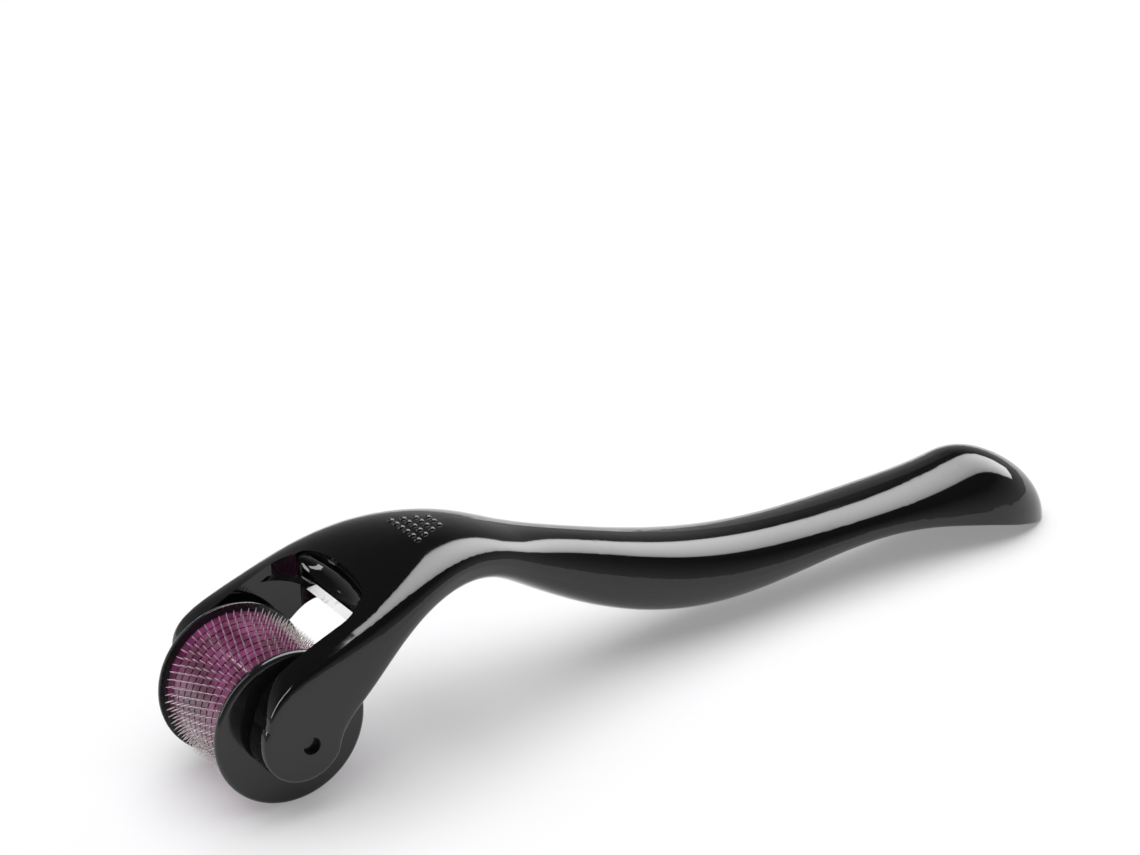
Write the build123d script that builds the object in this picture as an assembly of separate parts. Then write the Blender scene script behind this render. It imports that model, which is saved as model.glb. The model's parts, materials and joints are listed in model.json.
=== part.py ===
"""Microneedle skin roller: a fork-ended plastic handle and a free-turning needle drum.

Millimetres. +X runs from the drum to the tail, +Y along the drum's axle, +Z up.
The roller stands as it does on a table: on its two end caps and on the tail's foot.
The origin is on the table, under the middle of the overall length.
The handle is drawn level, with the axle at (0, 0, 0), and is then tipped about the
axle until the tail's foot reaches the table.
"""

from build123d import *
from math import asin, atan2, cos, degrees, hypot, radians, sin, tan
import os

# --- the drum ---------------------------------------------------------------
CAP_RADIUS = 11.0          # end caps, the part's two rolling rims
CAP_THICKNESS = 1.0
CAP_OUTER_EDGE = 0.75      # rounding of a cap's rim, on its outer face
CAP_INNER_EDGE = 0.15      # and beside the discs
DISC_SETBACK = 1.25        # the discs' rims, inside the caps' rims
DISC_THICKNESS = 1.67
DISC_COUNT = 10
GROOVE_DEPTH = 0.5         # groove between two discs, where the needles stand
GROOVE_WIDTH = 0.3
SPINDLE_RADIUS = 3.0
SPINDLE_ENTRY = 0.9        # how far the spindle's end reaches into a cap
SPINDLE_END_ROOM = 0.15    # free space past the spindle's end
BOSS_RADIUS = 3.9
JOURNAL_RADIUS = 1.2
JOURNAL_RECESS = 1.0       # journal's end, inside the arm's outer face

# --- the needles ------------------------------------------------------------
NEEDLES_PER_RING = 60
NEEDLE_RADIUS = 0.09
NEEDLE_TIP_RADIUS = 0.02
NEEDLE_SETBACK = 0.1       # the points, inside the caps' rims
NEEDLE_TAPER = 0.55        # length of the ground point
RING_STAGGER = 0.5         # every second ring turns by this share of the pitch

# --- fits -------------------------------------------------------------------
RUNNING_FIT = 0.05         # journal in the arm's hole, on the radius
SLIDE_FIT = 0.02           # discs and caps on the spindle, on the radius
DISC_GAP = 0.01            # glue line between two discs
BOSS_PLAY = 0.15           # boss to the arm's inner face
FORK_PLAY = 1.4            # cap's outer face to the arm's inner face
PEG_FIT = 0.03             # the lower shell's pegs in the upper shell, on the radius

# --- the handle: arms, crown, grip and tail ----------------------------------
ARM_THICKNESS = 4.3
ARM_END_RADIUS = 6.0
ARM_END_X = -0.9           # centre of the arm's round end, from the axle
ARM_END_Z = 0.7
ARM_LEAN = 62.0            # direction of the arm's lower end, above level
SHOULDER_SETBACK = 0.7     # the shoulder's side, inside the arms' outer faces
CROWN_HALF_WIDTH = 11.8
NAPE_HALF_WIDTH = 8.6
NECK_HALF_WIDTH = 7.0
BELLY_HALF_WIDTH = 7.8
WAIST_HALF_WIDTH = 7.2
FLARE_HALF_WIDTH = 7.5
TAIL_ROOT_HALF_WIDTH = 8.5
TAIL_HALF_WIDTH = 9.4
GRIP_START = 42.0          # the neck, where the straight grip begins
TAIL_START = 122.0         # where the domed end begins
TAIL_DOME = 12.4           # length of the domed end
TAIL_HEIGHT = 9.8
TAIL_UNDERSIDE = 0.4       # the tail's flat underside, at TAIL_START
TIP_UNDERSIDE = -2.7       # and at the tip
FOOT_FROM_TIP = 3.4        # where the underside reaches the table
WALL = 2.0
CAVITY_START = 36.0
CAVITY_FROM_TAIL = 3.0     # the cavity's end, before TAIL_START

# Side view of the arms and the crown: a top and a bottom point, as (x, z).
ARM_LOW = ((-2.3, 9.3), (7.8, 3.3))
ARM_HIGH = ((4.9, 13.3), (12.4, 6.9))
SHOULDER = ((12.6, 16.9), (16.8, 10.3))
CROWN = ((21.9, 19.9), (23.2, 12.8))
NAPE = ((32.0, 19.4), (32.0, 12.0))

# Side view of the grip: heights of its top and its bottom.
NECK = (15.9, 6.9)
GRIP_FRONT = (11.9, 0.5)
BELLY = (8.3, -2.4)
WAIST = (7.3, -0.7)
FLARE = (8.1, 1.8)
TAIL_ROOT = (9.4, 1.6)

# --- the fork's gap, the web and its thumb scoop ----------------------------
WEB_FRONT = 10.3
WEB_UNDERSIDE = 11.9
LIP_HEIGHT = 0.7           # the web's lower lip, which leans back
LIP_LEAN = 58.0
GAP_CORNER = 4.5
POCKET_CORNER = 3.5
POCKET_END = 14.5
SCOOP_OUT = 0.4            # the hollow's middle line, in front of the web's face
SCOOP_RISE = 2.7           # and above the lip
SCOOP_RADIUS = 2.6
SCOOP_HALF_LENGTH = 9.2

# --- the seam between the two shells, and its pegs --------------------------
SEAM_FRONT = 25.0          # where the seam leaves the underside
SEAM_FRONT_Z = 11.5
TAIL_SEAM_Z = 3.2          # the seam at TAIL_START
TIP_SEAM_Z = 0.4           # and past the tip
PEG_RADIUS = 0.8
PEG_LENGTH = 1.4
PEG_END_ROOM = 0.15
POST_RADIUS = 1.7
POST_COUNT = 4
FIRST_POST = 0.3           # from the neck, as a share of the posts' pitch

# --- raised grip dots -------------------------------------------------------
DOT_COLUMNS = (6, 5, 4, 3) # dots in each column, from the drum's side
DOT_START = 22.6
DOT_COLUMN_PITCH = 1.5
DOT_PITCH = 1.5
DOT_RADIUS = 0.55
DOT_HEIGHT = 0.34

# --- worked out -------------------------------------------------------------
DRUM_WIDTH = DISC_COUNT * DISC_THICKNESS
CAP_FACE = DRUM_WIDTH / 2 + CAP_THICKNESS
ARM_INNER = CAP_FACE + FORK_PLAY
ARM_OUTER = ARM_INNER + ARM_THICKNESS
JOURNAL_END = ARM_OUTER - JOURNAL_RECESS
DISC_RADIUS = CAP_RADIUS - DISC_SETBACK
GROOVE_RADIUS = DISC_RADIUS - GROOVE_DEPTH
NEEDLE_REACH = CAP_RADIUS - NEEDLE_SETBACK
LIP_DEPTH = LIP_HEIGHT * tan(radians(LIP_LEAN))
TAIL_TIP = TAIL_START + TAIL_DOME
FOOT_X = TAIL_TIP - FOOT_FROM_TIP
FAR = 60.0                 # reach of the cutting shapes, past every surface


def foot_height():
    """Height of the tail's underside at FOOT_X, on the drawn, level handle."""
    share = (FOOT_X - TAIL_START) / TAIL_DOME
    return TAIL_UNDERSIDE + share * (TIP_UNDERSIDE - TAIL_UNDERSIDE)


REACH = hypot(FOOT_X, foot_height())
REST_TILT = degrees(atan2(foot_height(), FOOT_X) + asin(CAP_RADIUS / REACH))


def in_place(shape):
    """Tips a level shape about the axle and moves it to the standing frame."""
    tipped = shape.rotate(Axis.Y, REST_TILT)
    return tipped.translate((-OVERALL_MIDDLE, 0, CAP_RADIUS))


def tipped_x(x, z):
    """X of a level point once the handle is tipped."""
    tilt = radians(REST_TILT)
    return x * cos(tilt) + z * sin(tilt)


OVERALL_MIDDLE = (tipped_x(TAIL_TIP, TIP_UNDERSIDE) - CAP_RADIUS) / 2


# --- the handle's cross-sections --------------------------------------------
class Section:
    """One cross-section: its top and bottom points, half width, the height of its
    widest level as a share, how full its corners are, and how crisp their edges."""

    def __init__(self, ends, half_width, level=0.5, upper=0.58, lower=0.56, crisp=0.0):
        self.top = Vector(ends[0][0], 0, ends[0][1])
        self.bottom = Vector(ends[1][0], 0, ends[1][1])
        self.half_width = half_width
        self.level = level
        self.upper = upper
        self.lower = lower
        self.crisp = crisp

    def middle(self):
        return self.bottom + (self.top - self.bottom) * self.level

    def inset(self, wall):
        """The same section, smaller by a wall all round."""
        up = (self.top - self.bottom).normalized() * wall
        top = self.top - up
        bottom = self.bottom + up
        return Section(
            ((top.X, top.Z), (bottom.X, bottom.Z)), self.half_width - wall,
            self.level, self.upper, self.lower,
        )

    def quarter(self, end, side, fullness):
        """One quarter of the outline, from the widest level to an end: a smooth
        curve, drawn in towards its corner where the edge is crisp."""
        out = Vector(0, side * self.half_width, 0)
        start = self.middle() + out
        corner = end + out
        first = start + (corner - start) * fullness
        second = end + (corner - end) * fullness
        soft = [
            start * 0.4 + first * 0.6,
            start * 0.1 + first * 0.6 + second * 0.3,
            end * 0.1 + second * 0.6 + first * 0.3,
            end * 0.4 + second * 0.6,
        ]
        drawn = [point + (corner - point) * self.crisp for point in soft]
        return Bezier(start, *drawn, end)

    def outline(self):
        return Wire([
            self.quarter(self.top, 1, self.upper),
            self.quarter(self.top, -1, self.upper),
            self.quarter(self.bottom, -1, self.lower),
            self.quarter(self.bottom, 1, self.lower),
        ])


def arm_end_section():
    """The section through the arm's round end, square to the arm."""
    across = radians(ARM_LEAN + 90)
    reach_x = ARM_END_RADIUS * cos(across)
    reach_z = ARM_END_RADIUS * sin(across)
    ends = (
        (ARM_END_X + reach_x, ARM_END_Z + reach_z),
        (ARM_END_X - reach_x, ARM_END_Z - reach_z),
    )
    return Section(ends, ARM_OUTER, 0.5, 0.97, 0.97, 1.0)


def dome_sections():
    """The tail's domed end: the last full section shrunk along an ellipse."""
    sections = []
    for angle in (0, 25, 45, 62, 75, 84):
        along = sin(radians(angle))
        size = cos(radians(angle))
        x = TAIL_START + TAIL_DOME * along
        bottom = TAIL_UNDERSIDE + (TIP_UNDERSIDE - TAIL_UNDERSIDE) * along
        top = bottom + TAIL_HEIGHT * size
        width = TAIL_HALF_WIDTH * size
        sections.append(Section(((x, top), (x, bottom)), width, 0.06, 0.58, 0.96))
    return sections


def grip_x(share):
    """X of a place along the grip, from the neck to the tail's start."""
    return GRIP_START + (TAIL_START - GRIP_START) * share


def grip_section(share, heights, half_width, level=0.5, upper=0.58, lower=0.56):
    """An upright section a share of the way along the grip."""
    x = grip_x(share)
    return Section(((x, heights[0]), (x, heights[1])), half_width, level, upper, lower)


def handle_sections():
    """Every section of the handle, from the fork's arms to the tail's tip."""
    return [
        arm_end_section(),
        Section(ARM_LOW, ARM_OUTER, 0.5, 0.97, 0.97, 0.80),
        Section(ARM_HIGH, ARM_OUTER, 0.5, 0.95, 0.95, 0.20),
        Section(SHOULDER, ARM_OUTER - SHOULDER_SETBACK, 0.5, 0.85, 0.85),
        Section(CROWN, CROWN_HALF_WIDTH, 0.5, 0.66, 0.80),
        Section(NAPE, NAPE_HALF_WIDTH, 0.5, 0.62, 0.65),
        grip_section(0, NECK, NECK_HALF_WIDTH),
        grip_section(0.17, GRIP_FRONT, (NECK_HALF_WIDTH + BELLY_HALF_WIDTH) / 2),
        grip_section(0.375, BELLY, BELLY_HALF_WIDTH),
        grip_section(0.575, WAIST, WAIST_HALF_WIDTH),
        grip_section(0.775, FLARE, FLARE_HALF_WIDTH, 0.35, 0.58, 0.70),
        grip_section(0.9, TAIL_ROOT, TAIL_ROOT_HALF_WIDTH, 0.12, 0.58, 0.88),
    ] + dome_sections()


def arm_ends():
    """The round lower end of the arms, turned from half of their section."""
    section = arm_end_section()
    half = Wire([
        section.quarter(section.top, 1, section.upper),
        section.quarter(section.top, -1, section.upper),
        Line(
            section.middle() + Vector(0, -ARM_OUTER, 0),
            section.middle() + Vector(0, ARM_OUTER, 0),
        ),
    ])
    axle_line = Axis((ARM_END_X, 0, ARM_END_Z), (0, -1, 0))
    return revolve(Face(half), axle_line, 180)


def handle_body():
    """The whole outside of the handle, before the fork's gap is cut."""
    body = Solid.make_loft([section.outline() for section in handle_sections()])
    return body + arm_ends()


def fork_gap():
    """The space between the arms, up to the web's leaning lip and the face above
    it, and further back under the web."""
    width = 2 * ARM_INNER
    plan = Pos(WEB_FRONT - FAR, 0, WEB_UNDERSIDE) * RectangleRounded(2 * FAR, width, GAP_CORNER)
    lean = (sin(radians(LIP_LEAN)), 0, cos(radians(LIP_LEAN)))
    lip = extrude(plan, LIP_HEIGHT / cos(radians(LIP_LEAN)), dir=lean)
    face = Pos(LIP_DEPTH, 0, LIP_HEIGHT) * extrude(plan, FAR)
    under = RectangleRounded(2 * FAR, width, POCKET_CORNER)
    pocket = Pos(POCKET_END - FAR, 0, WEB_UNDERSIDE - FAR) * extrude(under, FAR)
    return lip + face + pocket


def scoop():
    """The long hollow in the web's face, over the lip."""
    stretch = SCOOP_HALF_LENGTH / SCOOP_RADIUS
    ball = scale(Sphere(SCOOP_RADIUS), (1, stretch, 1))
    x = WEB_FRONT + LIP_DEPTH - SCOOP_OUT
    z = WEB_UNDERSIDE + LIP_HEIGHT + SCOOP_RISE
    return Pos(x, 0, z) * ball


def axle_holes():
    hole = Cylinder(JOURNAL_RADIUS + RUNNING_FIT, 2 * FAR)
    return hole.rotate(Axis.X, 90)


def seam_points():
    """The seam in side view: up from the underside, then along mid height."""
    middles = [
        section.middle()
        for section in handle_sections()
        if SEAM_FRONT < section.top.X < TAIL_START - TAIL_DOME
    ]
    front = Vector(SEAM_FRONT, 0, SEAM_FRONT_Z)
    tail = Vector(TAIL_START, 0, TAIL_SEAM_Z)
    past_tip = Vector(TAIL_TIP + WALL, 0, TIP_SEAM_Z)
    return [front] + middles + [tail, past_tip]


def below_seam(lift=0.0):
    """Everything under the seam as one block, or under a line lifted off it."""
    points = [point + Vector(0, 0, lift) for point in seam_points()]
    start = points[0]
    end = points[-1]
    sides = Polyline(end, Vector(end.X, 0, -FAR), Vector(start.X, 0, -FAR), start)
    outline = Wire([Spline(*points)] + sides.edges())
    return extrude(Face(outline), FAR, dir=(0, 1, 0), both=True)


def cavity():
    """The hollow inside the grip, a wall's thickness from the outside."""
    inner = [
        section.inset(WALL)
        for section in handle_sections()
        if CAVITY_START < section.top.X < TAIL_START - CAVITY_FROM_TAIL
    ]
    return Solid.make_loft([section.outline() for section in inner])


def rods(radius):
    """Upright rods spread along the grip, taller than the handle."""
    places = [grip_x((post + FIRST_POST) / POST_COUNT) for post in range(POST_COUNT)]
    return [Pos(x, 0, 0) * Cylinder(radius, 2 * FAR) for x in places]


def crown_height(body, x, y):
    """Height of the body's top surface at one place."""
    column = Line((x, y, 0), (x, y, FAR))
    return max(vertex.Z for vertex in body.intersect(column).vertices())


def grip_dots(body):
    """Low domes on the crown, in columns that get shorter towards the tail."""
    ball_radius = (DOT_RADIUS ** 2 + DOT_HEIGHT ** 2) / (2 * DOT_HEIGHT)
    dots = []
    for column, count in enumerate(DOT_COLUMNS):
        x = DOT_START + column * DOT_COLUMN_PITCH
        for row in range(count):
            y = (row - (count - 1) / 2) * DOT_PITCH
            z = crown_height(body, x, y) + DOT_HEIGHT - ball_radius
            dots.append(Pos(x, y, z) * Sphere(ball_radius))
    return dots


def handle_shells():
    """The handle cut along its seam: an upper shell with the fork, and a lower one."""
    body = handle_body() - fork_gap() - scoop() - axle_holes()
    dots = grip_dots(body)
    posts = [rod & body for rod in rods(POST_RADIUS)]
    hollow = body - cavity() + posts
    pegs = [rod & body & below_seam(PEG_LENGTH) for rod in rods(PEG_RADIUS)]
    sockets = [rod & below_seam(PEG_LENGTH + PEG_END_ROOM) for rod in rods(PEG_RADIUS + PEG_FIT)]
    upper = hollow - below_seam() - sockets + dots
    lower = (hollow & below_seam()) + pegs
    return upper, lower


def above_table(shape):
    """Trims a standing shape flat where it meets the table."""
    table = Pos(0, 0, -FAR) * Box(4 * FAR, 2 * FAR, 2 * FAR)
    return shape - table


# --- the drum's pieces, drawn along +Z and laid onto the axle -----------------
def on_axle(shape):
    """Turns a piece drawn along +Z onto the axle and moves it to the standing frame."""
    laid = shape.rotate(Axis.X, -90)
    return laid.translate((-OVERALL_MIDDLE, 0, CAP_RADIUS))


def turned(points):
    """A turned piece from its outline in radius and height."""
    outline = Polyline(*[Vector(radius, 0, height) for radius, height in points], close=True)
    return revolve(Face(outline), Axis.Z, 360)


def drum_disc(place):
    """One moulded disc, its rim stepped down on each side that has needles."""
    low = -DRUM_WIDTH / 2 + place * DISC_THICKNESS + DISC_GAP / 2
    high = low + DISC_THICKNESS - DISC_GAP
    bore = SPINDLE_RADIUS + SLIDE_FIT
    step = (GROOVE_WIDTH - DISC_GAP) / 2
    points = [(bore, low)]
    if place > 0:
        points += [(GROOVE_RADIUS, low), (GROOVE_RADIUS, low + step), (DISC_RADIUS, low + step)]
    else:
        points += [(DISC_RADIUS, low)]
    if place < DISC_COUNT - 1:
        points += [(DISC_RADIUS, high - step), (GROOVE_RADIUS, high - step), (GROOVE_RADIUS, high)]
    else:
        points += [(DISC_RADIUS, high)]
    points += [(bore, high)]
    return turned(points)


def needle_ring(place):
    """The ring of needles held between two discs."""
    height = -DRUM_WIDTH / 2 + place * DISC_THICKNESS
    shank = NEEDLE_REACH - NEEDLE_TAPER - GROOVE_RADIUS
    needle = turned([
        (0, 0),
        (NEEDLE_RADIUS, 0),
        (NEEDLE_RADIUS, shank),
        (NEEDLE_TIP_RADIUS, shank + NEEDLE_TAPER),
        (0, shank + NEEDLE_TAPER),
    ])
    upright = Pos(GROOVE_RADIUS, 0, height) * needle.rotate(Axis.Y, 90)
    pitch = 360 / NEEDLES_PER_RING
    start = RING_STAGGER * pitch * (place % 2)
    return Compound([
        upright.rotate(Axis.Z, start + turn * pitch)
        for turn in range(NEEDLES_PER_RING)
    ])


def spindle():
    """The rod through the discs, its ends seated in the two caps."""
    return Cylinder(SPINDLE_RADIUS, DRUM_WIDTH + 2 * SPINDLE_ENTRY)


def end_cap():
    """One cap with its boss and journal, drawn for the +Z end of the drum."""
    inside = DRUM_WIDTH / 2
    socket = SPINDLE_RADIUS + SLIDE_FIT
    floor = inside + SPINDLE_ENTRY + SPINDLE_END_ROOM
    boss_end = ARM_INNER - BOSS_PLAY
    cap = turned([
        (0, floor),
        (socket, floor),
        (socket, inside),
        (CAP_RADIUS, inside),
        (CAP_RADIUS, CAP_FACE),
        (BOSS_RADIUS, CAP_FACE),
        (BOSS_RADIUS, boss_end),
        (JOURNAL_RADIUS, boss_end),
        (JOURNAL_RADIUS, JOURNAL_END),
        (0, JOURNAL_END),
    ])
    rims = cap.edges().filter_by(GeomType.CIRCLE).sort_by(lambda edge: edge.radius)[-2:]
    outer_rim = rims.sort_by(Axis.Z)[-1]
    rounded = fillet(outer_rim, CAP_OUTER_EDGE)
    wide = rounded.edges().filter_by(GeomType.CIRCLE).sort_by(lambda edge: edge.radius)[-2:]
    inner_rim = wide.sort_by(Axis.Z)[0]
    return fillet(inner_rim, CAP_INNER_EDGE)


def write(shape, node):
    export_step(shape, f"parts/{node}.step")


# --- build --------------------------------------------------------------------
os.makedirs("parts", exist_ok=True)

upper_shell, lower_shell = handle_shells()
write(above_table(in_place(upper_shell)), "upper_shell")
write(above_table(in_place(lower_shell)), "lower_shell")

far_cap = end_cap()
write(on_axle(far_cap), "end_cap_far")
write(on_axle(far_cap.mirror(Plane.XY)), "end_cap_near")
write(on_axle(spindle()), "drum_spindle")

for number in range(DISC_COUNT):
    write(on_axle(drum_disc(number)), f"drum_disc_{number + 1:02d}")
for number in range(1, DISC_COUNT):
    write(on_axle(needle_ring(number)), f"needle_ring_{number}")
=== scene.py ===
import json
import math

import bmesh
import bpy
from mathutils import Matrix, Quaternion, Vector

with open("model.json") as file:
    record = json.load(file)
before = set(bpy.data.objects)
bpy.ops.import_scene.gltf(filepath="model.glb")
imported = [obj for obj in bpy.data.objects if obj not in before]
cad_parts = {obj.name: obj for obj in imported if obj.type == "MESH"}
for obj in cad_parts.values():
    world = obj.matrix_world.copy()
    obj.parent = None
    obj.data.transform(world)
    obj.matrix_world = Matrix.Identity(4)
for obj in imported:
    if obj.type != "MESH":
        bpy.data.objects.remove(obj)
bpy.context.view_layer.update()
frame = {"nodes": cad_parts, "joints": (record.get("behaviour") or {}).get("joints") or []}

scene = bpy.context.scene
nodes = frame["nodes"]

# Camera. A long lens, low over the drum's near end, looking along the handle to its tail.
# It is rolled a little, because the roller lies tipped towards its tail.
axle = Vector(frame["joints"][0]["pos_m"])
camera_place = axle + Vector((-0.14275, -0.3275, 0.19606))
camera_heading = math.radians(30.62)
camera_dip = math.radians(24.12)
camera_roll = math.radians(-3.72)

camera_data = bpy.data.cameras.new("camera")
camera_data.lens = 94.74
camera_data.sensor_width = 36.0
camera_data.clip_start = 0.01
camera = bpy.data.objects.new("camera", camera_data)
scene.collection.objects.link(camera)
look = Vector((
    math.sin(camera_heading) * math.cos(camera_dip),
    math.cos(camera_heading) * math.cos(camera_dip),
    -math.sin(camera_dip),
))
camera.location = camera_place
camera.rotation_mode = "QUATERNION"
camera.rotation_quaternion = look.to_track_quat("-Z", "Y") @ Quaternion((0, 0, 1), camera_roll)
scene.camera = camera


# Spindle. A plain white plastic rod through the bores of the discs, its ends in the caps.
# Only its material is dressed here, since the caps and discs close it in.
def new_material(name):
    """An empty material with its Principled shader, node tree and output."""
    material = bpy.data.materials.new(name)
    material.use_nodes = True
    tree = material.node_tree
    shader = tree.nodes["Principled BSDF"]
    return material, tree, shader


def surface_wear_group():
    """Handling marks on moulded plastic: hair scratches, faint smears and specks of dust."""
    group = bpy.data.node_groups.new("surface wear", "ShaderNodeTree")
    side = group.interface
    for name, default in (
        ("Scratch Scale", 900.0), ("Smear Scale", 60.0), ("Dust Scale", 1400.0),
        ("Base Roughness", 0.08), ("Smear Amount", 0.05), ("Dust Amount", 0.5),
    ):
        socket = side.new_socket(name, in_out="INPUT", socket_type="NodeSocketFloat")
        socket.default_value = default
    base = side.new_socket("Base Color", in_out="INPUT", socket_type="NodeSocketColor")
    base.default_value = (0.02, 0.02, 0.02, 1)
    dust = side.new_socket("Dust Color", in_out="INPUT", socket_type="NodeSocketColor")
    dust.default_value = (0.35, 0.34, 0.33, 1)
    side.new_socket("Color", in_out="OUTPUT", socket_type="NodeSocketColor")
    side.new_socket("Roughness", in_out="OUTPUT", socket_type="NodeSocketFloat")
    side.new_socket("Height", in_out="OUTPUT", socket_type="NodeSocketFloat")

    scratch_roughness = 0.04
    dust_roughness = 0.4
    new, link = group.nodes.new, group.links.new
    given = new("NodeGroupInput")
    out = new("NodeGroupOutput")
    place = new("ShaderNodeTexCoord")

    # hair scratches: a stretched noise, kept only where it is strongest
    stretch = new("ShaderNodeMapping")
    stretch.inputs["Scale"].default_value = (0.12, 1.0, 1.0)
    stretch.inputs["Rotation"].default_value = (0.0, 0.3, 0.5)
    link(place.outputs["Object"], stretch.inputs["Vector"])
    scratch = new("ShaderNodeTexNoise")
    scratch.inputs["Detail"].default_value = 3.0
    link(stretch.outputs["Vector"], scratch.inputs["Vector"])
    link(given.outputs["Scratch Scale"], scratch.inputs["Scale"])
    lines = new("ShaderNodeMapRange")
    lines.inputs["From Min"].default_value = 0.60
    lines.inputs["From Max"].default_value = 0.72
    link(scratch.outputs["Fac"], lines.inputs["Value"])

    # smears: broad, soft changes of polish left by fingers
    smear = new("ShaderNodeTexNoise")
    smear.inputs["Detail"].default_value = 4.0
    smear.inputs["Roughness"].default_value = 0.6
    link(place.outputs["Object"], smear.inputs["Vector"])
    link(given.outputs["Smear Scale"], smear.inputs["Scale"])
    polish = new("ShaderNodeMapRange")
    polish.inputs["From Min"].default_value = 0.35
    polish.inputs["From Max"].default_value = 0.75
    link(smear.outputs["Fac"], polish.inputs["Value"])
    smeared = new("ShaderNodeMath")
    smeared.operation = "MULTIPLY_ADD"
    link(polish.outputs["Result"], smeared.inputs[0])
    link(given.outputs["Smear Amount"], smeared.inputs[1])
    link(given.outputs["Base Roughness"], smeared.inputs[2])
    rough = new("ShaderNodeMath")
    rough.operation = "MULTIPLY_ADD"
    rough.inputs[1].default_value = scratch_roughness
    link(lines.outputs["Result"], rough.inputs[0])
    link(smeared.outputs["Value"], rough.inputs[2])

    # dust: sparse small specks, lighter and rougher than the plastic
    specks = new("ShaderNodeTexVoronoi")
    link(place.outputs["Object"], specks.inputs["Vector"])
    link(given.outputs["Dust Scale"], specks.inputs["Scale"])
    small = new("ShaderNodeMapRange")
    small.inputs["From Min"].default_value = 0.10
    small.inputs["From Max"].default_value = 0.04
    link(specks.outputs["Distance"], small.inputs["Value"])
    dusty = new("ShaderNodeMath")
    dusty.operation = "MULTIPLY"
    link(small.outputs["Result"], dusty.inputs[0])
    link(given.outputs["Dust Amount"], dusty.inputs[1])
    color = new("ShaderNodeMix")
    color.data_type = "RGBA"
    link(dusty.outputs["Value"], color.inputs["Factor"])
    link(given.outputs["Base Color"], color.inputs["A"])
    link(given.outputs["Dust Color"], color.inputs["B"])
    rough_all = new("ShaderNodeMath")
    rough_all.operation = "MULTIPLY_ADD"
    rough_all.inputs[1].default_value = dust_roughness
    link(dusty.outputs["Value"], rough_all.inputs[0])
    link(rough.outputs["Value"], rough_all.inputs[2])

    # relief: specks stand up and scratches sink in
    height = new("ShaderNodeMath")
    height.operation = "SUBTRACT"
    link(dusty.outputs["Value"], height.inputs[0])
    link(lines.outputs["Result"], height.inputs[1])

    link(color.outputs["Result"], out.inputs["Color"])
    link(rough_all.outputs["Value"], out.inputs["Roughness"])
    link(height.outputs["Value"], out.inputs["Height"])
    return group


surface_wear = surface_wear_group()


def add_wear(tree, shader, color, roughness, smear=0.05, dust=0.5, depth=0.0000015):
    """Places the wear group in a material, with its own values, and feeds its shader."""
    wear = tree.nodes.new("ShaderNodeGroup")
    wear.node_tree = surface_wear
    wear.inputs["Base Color"].default_value = (*color, 1)
    wear.inputs["Base Roughness"].default_value = roughness
    wear.inputs["Smear Amount"].default_value = smear
    wear.inputs["Dust Amount"].default_value = dust
    bump = tree.nodes.new("ShaderNodeBump")
    bump.inputs["Distance"].default_value = depth
    bump.inputs["Strength"].default_value = 0.6
    tree.links.new(wear.outputs["Color"], shader.inputs["Base Color"])
    tree.links.new(wear.outputs["Roughness"], shader.inputs["Roughness"])
    tree.links.new(wear.outputs["Height"], bump.inputs["Height"])
    tree.links.new(bump.outputs["Normal"], shader.inputs["Normal"])
    return wear


spindle_white = (0.75, 0.74, 0.71)
spindle_material, tree, shader = new_material("spindle plastic")
add_wear(tree, shader, spindle_white, 0.35)
nodes["drum_spindle"].material_slots[0].material = spindle_material

# Drum discs. Ten rings of clear plum plastic, pressed together on the spindle.
# The plastic is cloudy, so its colour runs from deep plum to a milky pink; the milky pink
# patches are also painted highlight, standing in for the soft light on the discs.
deep_plum = (0.075, 0.005, 0.035)
milky_plum_and_highlight = (0.25, 0.052, 0.16)


def cloudy_tint_and_highlight_group():
    """A cloudy plastic's colour with painted highlight: two tints mixed by soft clouds and fine
    streaks, the milky tint's patches standing in for soft highlights.
    """
    group = bpy.data.node_groups.new("cloudy tint and painted highlight", "ShaderNodeTree")
    side = group.interface
    for name, default in (("Deep", deep_plum), ("Milky And Highlight", milky_plum_and_highlight)):
        socket = side.new_socket(name, in_out="INPUT", socket_type="NodeSocketColor")
        socket.default_value = (*default, 1)
    for name, default in (("Cloud Scale", 170.0), ("Streak Scale", 900.0)):
        socket = side.new_socket(name, in_out="INPUT", socket_type="NodeSocketFloat")
        socket.default_value = default
    side.new_socket("Color", in_out="OUTPUT", socket_type="NodeSocketColor")

    streak_share = 0.45
    new, link = group.nodes.new, group.links.new
    given = new("NodeGroupInput")
    out = new("NodeGroupOutput")
    place = new("ShaderNodeTexCoord")
    clouds = new("ShaderNodeTexNoise")
    clouds.inputs["Detail"].default_value = 3.0
    clouds.inputs["Roughness"].default_value = 0.55
    link(place.outputs["Object"], clouds.inputs["Vector"])
    link(given.outputs["Cloud Scale"], clouds.inputs["Scale"])
    squash = new("ShaderNodeMapping")
    squash.inputs["Scale"].default_value = (1.0, 0.25, 1.0)
    link(place.outputs["Object"], squash.inputs["Vector"])
    streaks = new("ShaderNodeTexNoise")
    streaks.inputs["Detail"].default_value = 2.0
    link(squash.outputs["Vector"], streaks.inputs["Vector"])
    link(given.outputs["Streak Scale"], streaks.inputs["Scale"])
    both = new("ShaderNodeMath")
    both.operation = "MULTIPLY_ADD"
    both.inputs[1].default_value = streak_share
    link(streaks.outputs["Fac"], both.inputs[0])
    link(clouds.outputs["Fac"], both.inputs[2])
    # Where this mix runs to the milky tint, the colour is partly painted highlight.
    share = new("ShaderNodeMapRange")
    share.inputs["From Min"].default_value = 0.58
    share.inputs["From Max"].default_value = 1.00
    link(both.outputs["Value"], share.inputs["Value"])
    mix = new("ShaderNodeMix")
    mix.data_type = "RGBA"
    link(share.outputs["Result"], mix.inputs["Factor"])
    link(given.outputs["Deep"], mix.inputs["A"])
    link(given.outputs["Milky And Highlight"], mix.inputs["B"])
    link(mix.outputs["Result"], out.inputs["Color"])
    return group


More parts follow.
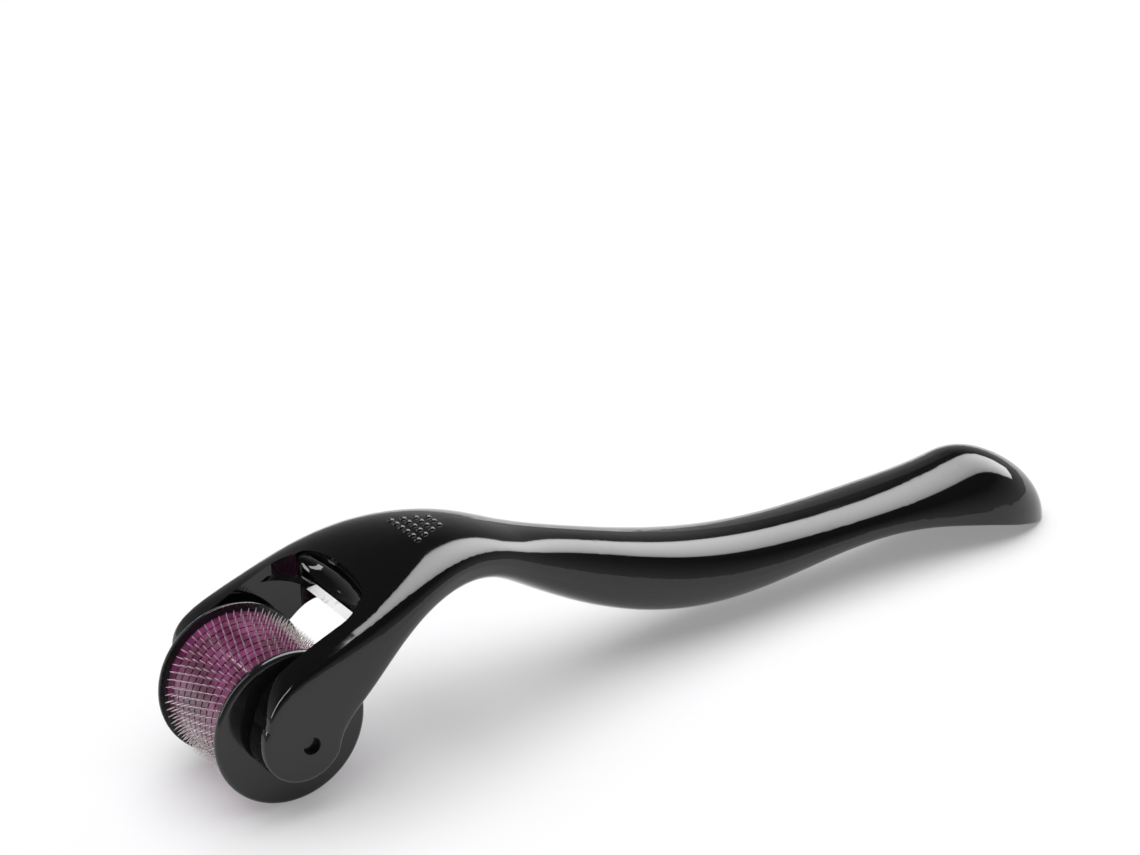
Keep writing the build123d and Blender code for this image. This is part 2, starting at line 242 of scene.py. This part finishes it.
plum, tree, shader = new_material("plum plastic")
wear = add_wear(tree, shader, deep_plum, 0.22, dust=0.1)
# The tint's milky patches are partly painted highlight for the soft light on the discs.
tint = tree.nodes.new("ShaderNodeGroup")
tint.node_tree = cloudy_tint_and_highlight_group()
tree.links.new(tint.outputs["Color"], wear.inputs["Base Color"])
shader.inputs["Subsurface Weight"].default_value = 0.15
shader.inputs["Subsurface Radius"].default_value = (1.0, 0.3, 0.8)
shader.inputs["Subsurface Scale"].default_value = 0.001
shader.inputs["Coat Weight"].default_value = 0.3
for name, node in nodes.items():
    if name.startswith("drum_disc"):
        node.material_slots[0].material = plum

# Needles. Ground stainless steel wire, sixty to a ring, standing in the grooves.
# Finely ground, so each one is a soft bright stroke rather than a mirror; their colour is
# painted shade and painted highlight, a shaded and a bright steel mixed by fine noise.
shaded_steel = (0.50, 0.44, 0.43)
bright_steel = (0.90, 0.84, 0.82)
steel, tree, shader = new_material("needle steel")
shader.inputs["Metallic"].default_value = 0.55
shader.inputs["Roughness"].default_value = 0.34
# Painted shade and painted highlight: fine noise mixes the shaded and the bright steel colour.
shade_and_glint_noise = tree.nodes.new("ShaderNodeTexNoise")
shade_and_glint_noise.inputs["Scale"].default_value = 2600.0
shade_and_glint_mix = tree.nodes.new("ShaderNodeMix")
shade_and_glint_mix.data_type = "RGBA"
shade_and_glint_mix.inputs["A"].default_value = (*shaded_steel, 1)
shade_and_glint_mix.inputs["B"].default_value = (*bright_steel, 1)
tree.links.new(shade_and_glint_noise.outputs["Fac"], shade_and_glint_mix.inputs["Factor"])
tree.links.new(shade_and_glint_mix.outputs["Result"], shader.inputs["Base Color"])
for name, node in nodes.items():
    if name.startswith("needle_ring"):
        node.material_slots[0].material = steel

# End caps. Black mouldings with a rolling rim, a boss and a short journal for the arm's hole.
# They are less polished than the handle.
cap_black = (0.008, 0.008, 0.009)
plastic_ior = 1.52
cap_plastic, tree, shader = new_material("cap plastic")
add_wear(tree, shader, cap_black, 0.12, dust=0.06)
shader.inputs["IOR"].default_value = plastic_ior
for name in ("end_cap_near", "end_cap_far"):
    nodes[name].material_slots[0].material = cap_plastic

# Handle. Two shells of polished near-black ABS: an upper one with the fork, a lower one under
# the grip. Pegs line them up, and they are welded along the seam at mid height.
handle_black = (0.0028, 0.0028, 0.0032)
gloss_black, tree, shader = new_material("gloss black")
add_wear(tree, shader, handle_black, 0.045, smear=0.04, dust=0.03)
shader.inputs["IOR"].default_value = plastic_ior
for name in ("upper_shell", "lower_shell"):
    nodes[name].material_slots[0].material = gloss_black

# Studio floor. A wide sheet of pale matt paper, far larger than the roller, so no edge shows.
floor_color = (0.86, 0.86, 0.87)
floor_half = 2.5
floor_mesh = bpy.data.meshes.new("floor")
builder = bmesh.new()
corners = [(-1, -1), (1, -1), (1, 1), (-1, 1)]
builder.faces.new([builder.verts.new((x * floor_half, y * floor_half, 0)) for x, y in corners])
builder.to_mesh(floor_mesh)
builder.free()
floor = bpy.data.objects.new("floor", floor_mesh)
scene.collection.objects.link(floor)
paper, tree, shader = new_material("studio paper")
shader.inputs["Base Color"].default_value = (*floor_color, 1)
shader.inputs["Roughness"].default_value = 0.75
shader.inputs["Specular IOR Level"].default_value = 0.1
floor_mesh.materials.append(paper)


# Lamps. Two ceilings and a key light the paper and the plum discs softly. A strip to the left
# and a small card behind show only as reflections in the polished arms and the web's lip.
def area_lamp(name, place, aim, size_x, size_y, radiance, lights, shadow=True):
    """A rectangular lamp at a place, facing a point. It is seen only in glossy
    reflections ("shine"), or it only lights matt surfaces ("fill")."""
    lamp = bpy.data.lights.new(name, "AREA")
    lamp.shape = "RECTANGLE"
    lamp.size = size_x
    lamp.size_y = size_y
    lamp.energy = radiance * math.pi * size_x * size_y
    lamp.use_shadow = shadow
    holder = bpy.data.objects.new(name, lamp)
    scene.collection.objects.link(holder)
    holder.location = place
    holder.rotation_mode = "QUATERNION"
    holder.rotation_quaternion = (Vector(aim) - Vector(place)).to_track_quat("-Z", "Y")
    holder.visible_camera = False
    holder.visible_diffuse = lights != "shine"
    holder.visible_glossy = lights != "fill"
    return holder


area_lamp("ceiling", (0.0, 0.3, 2.0), (0.0, 0.0, 0.0), 3.2, 3.2, 0.60, "fill")
area_lamp("open ceiling", (0.0, 0.0, 2.2), (0.0, 0.0, 0.0), 3.2, 3.2, 1.86, "fill", shadow=False)
area_lamp("key", (0.32, 0.42, 0.62), (0.06, 0.0, 0.0), 0.45, 0.35, 1.0, "fill")
area_lamp("left strip", (-0.69, 0.34, 0.55), (-0.061, -0.012, 0.015), 0.14, 0.95, 7.0, "shine")
area_lamp("back card", (-0.247, 0.961, 0.709), (-0.05, -0.003, 0.022), 0.04, 0.04, 13.0, "shine")

# Long softbox, over the handle. Its far edge slants away from the fork, so the band
# it draws along the grip opens out towards the tail, and its edges fade softly.
box_height = 0.60
box_strength = 6.8
fade_across = ((0.06, 0.72), (0.35, 1.0), (0.80, 0.92), (0.94, 0.70))
box_near = ((-0.10, -0.13), (0.25, -0.13), (0.90, -0.12), (2.40, -0.10))
box_far = ((-0.10, 0.17), (0.25, 0.42), (0.90, 0.64), (2.40, 0.80))
box_mesh = bpy.data.meshes.new("long_softbox")
builder = bmesh.new()
across = builder.loops.layers.uv.new("across")
for step in range(len(box_near) - 1):
    ring = [box_near[step], box_near[step + 1], box_far[step + 1], box_far[step]]
    face = builder.faces.new([builder.verts.new((x, y, box_height)) for x, y in ring])
    for loop, share in zip(face.loops, (0.0, 0.0, 1.0, 1.0)):
        loop[across].uv = (loop.vert.co.x, share)
builder.to_mesh(box_mesh)
builder.free()
long_box = bpy.data.objects.new("long_softbox", box_mesh)
scene.collection.objects.link(long_box)
long_box.visible_camera = False
long_box.visible_diffuse = False
long_box.visible_shadow = False
cloth = bpy.data.materials.new("softbox cloth")
cloth.use_nodes = True
tree = cloth.node_tree
tree.nodes.remove(tree.nodes["Principled BSDF"])
glow = tree.nodes.new("ShaderNodeEmission")
place = tree.nodes.new("ShaderNodeUVMap")
place.uv_map = "across"
split = tree.nodes.new("ShaderNodeSeparateXYZ")
tree.links.new(place.outputs["UV"], split.inputs["Vector"])
fade = tree.nodes.new("ShaderNodeFloatCurve")
curve = fade.mapping.curves[0]
for point, spot in zip(curve.points, ((0.0, 0.0), (1.0, 0.0))):
    point.location = spot
for spot in fade_across:
    curve.points.new(*spot)
fade.mapping.update()
tree.links.new(split.outputs["Y"], fade.inputs["Value"])
strength = tree.nodes.new("ShaderNodeMath")
strength.operation = "MULTIPLY"
strength.inputs[1].default_value = box_strength
tree.links.new(fade.outputs["Value"], strength.inputs[0])
tree.links.new(strength.outputs["Value"], glow.inputs["Strength"])
tree.links.new(glow.outputs["Emission"], tree.nodes["Material Output"].inputs["Surface"])
box_mesh.materials.append(cloth)

# Room. Grey near the horizon and darker overhead, for the polished crest to mirror.
horizon_glow = 0.45
overhead_glow = 0.06
world = bpy.data.worlds.new("room")
world.use_nodes = True
tree = world.node_tree
background = tree.nodes["Background"]
direction = tree.nodes.new("ShaderNodeTexCoord")
split = tree.nodes.new("ShaderNodeSeparateXYZ")
shade = tree.nodes.new("ShaderNodeMapRange")
shade.inputs["From Min"].default_value = 0.05
shade.inputs["From Max"].default_value = 0.60
shade.inputs["To Min"].default_value = horizon_glow
shade.inputs["To Max"].default_value = overhead_glow
tree.links.new(direction.outputs["Generated"], split.inputs["Vector"])
tree.links.new(split.outputs["Z"], shade.inputs["Value"])
tree.links.new(shade.outputs["Result"], background.inputs["Strength"])
background.inputs["Color"].default_value = (1, 1, 1, 1)
scene.world = world
scene.view_settings.view_transform = "Standard"
